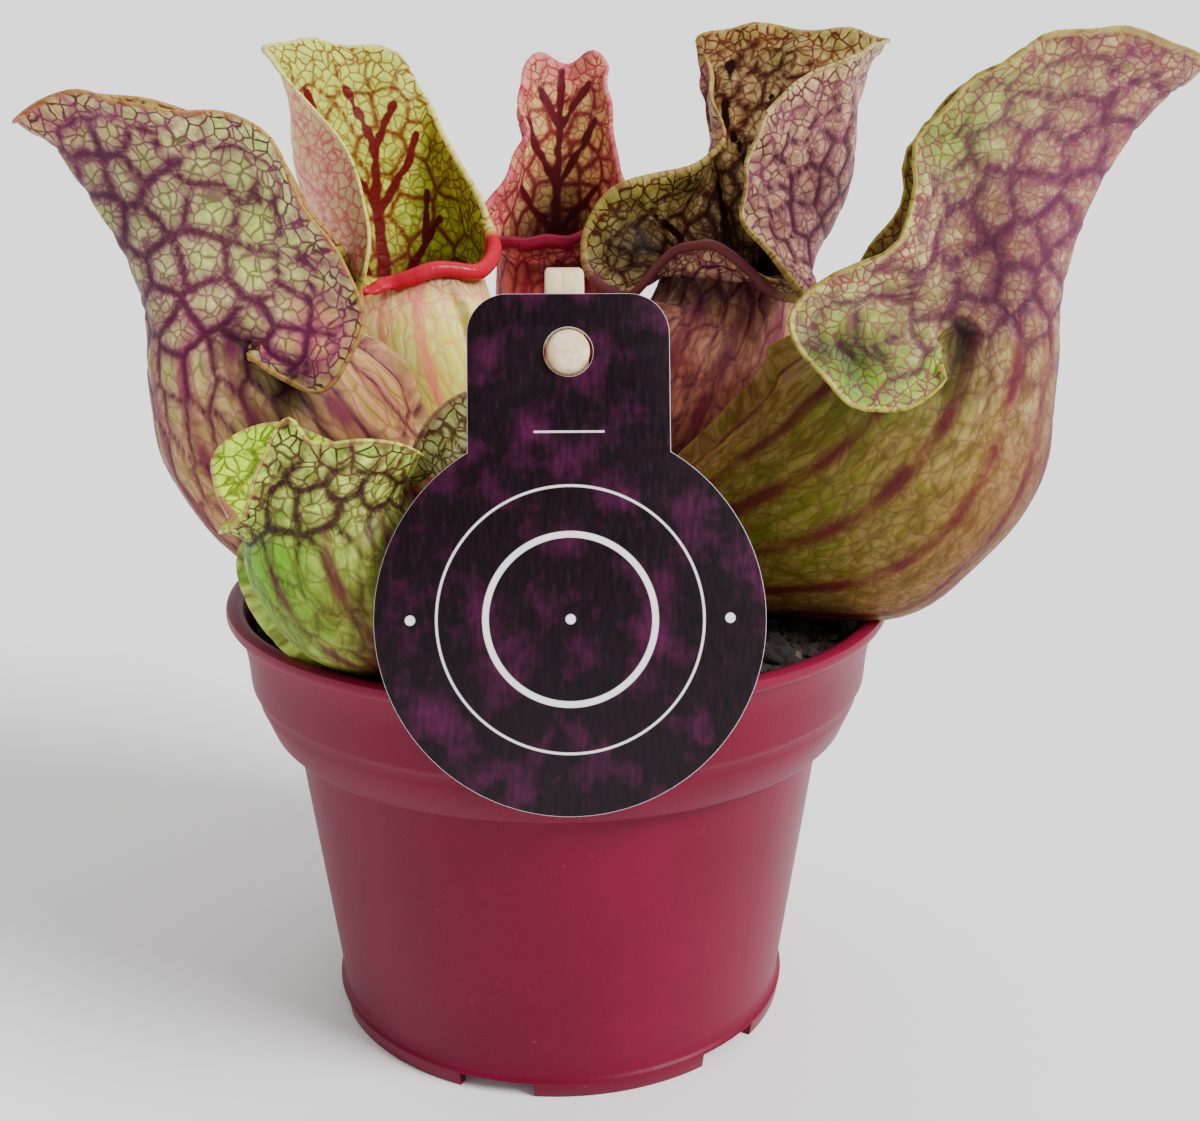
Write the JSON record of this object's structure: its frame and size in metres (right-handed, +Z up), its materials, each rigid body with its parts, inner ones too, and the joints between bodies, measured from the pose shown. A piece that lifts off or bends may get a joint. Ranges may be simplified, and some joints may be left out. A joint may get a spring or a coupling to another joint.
{
  "type": "potted pitcher plant",
  "caption": "Young carnivorous pitcher plant with hollow hooded trumpet leaves, growing in a tapered plastic nursery pot with a round blank hang label on a wooden stake",
  "frame": {"origin": "the middle of the plant's overall box, at the level of the pot's feet; the pot's axis stands 4.0 mm to the left of it (-X) and 0.8 mm behind it (+Y)", "axes": "+Z up along the pot's axis, -Y towards the side with the label card, +X to the right of someone who faces the card"},
  "size_m": [0.1346, 0.0984, 0.1349],
  "materials": {
    "pot_plastic": "satin injection-moulded polypropylene, raspberry red",
    "peat": "dark crumbly peat with bark chips and grit",
    "rootstock": "brown scaly rootstock and fibrous roots",
    "leaf_purple": "waxy leaf, purple net of veins over pale green",
    "leaf_gold": "waxy leaf, yellow green with salmon flush and dark red veins inside the hood",
    "leaf_rose": "waxy leaf, rose pink with dark red veins",
    "leaf_maroon": "waxy leaf, maroon and olive with a pale net",
    "leaf_olive": "waxy leaf, olive green below and mauve above with red veins",
    "leaf_green": "waxy young leaf, fresh green with a thin dark red net",
    "leaf_pale": "waxy young leaf, pale green with brown veins",
    "card": "printed plastic card, mottled aubergine with a white edge",
    "stake_wood": "bare pale softwood with fine straight grain"
  },
  "bodies": {
    "root": {"pot": "pot_plastic", "soil": "peat", "crown": "rootstock", "pitcher_left": "leaf_purple", "pitcher_back_left": "leaf_gold", "pitcher_back": "leaf_rose", "pitcher_back_right": "leaf_maroon", "pitcher_right": "leaf_olive", "pitcher_front_left": "leaf_green", "pitcher_front": "leaf_pale", "label_card": "card", "label_peg": "stake_wood", "label_stake": "stake_wood"}
  },
  "joints": []
}
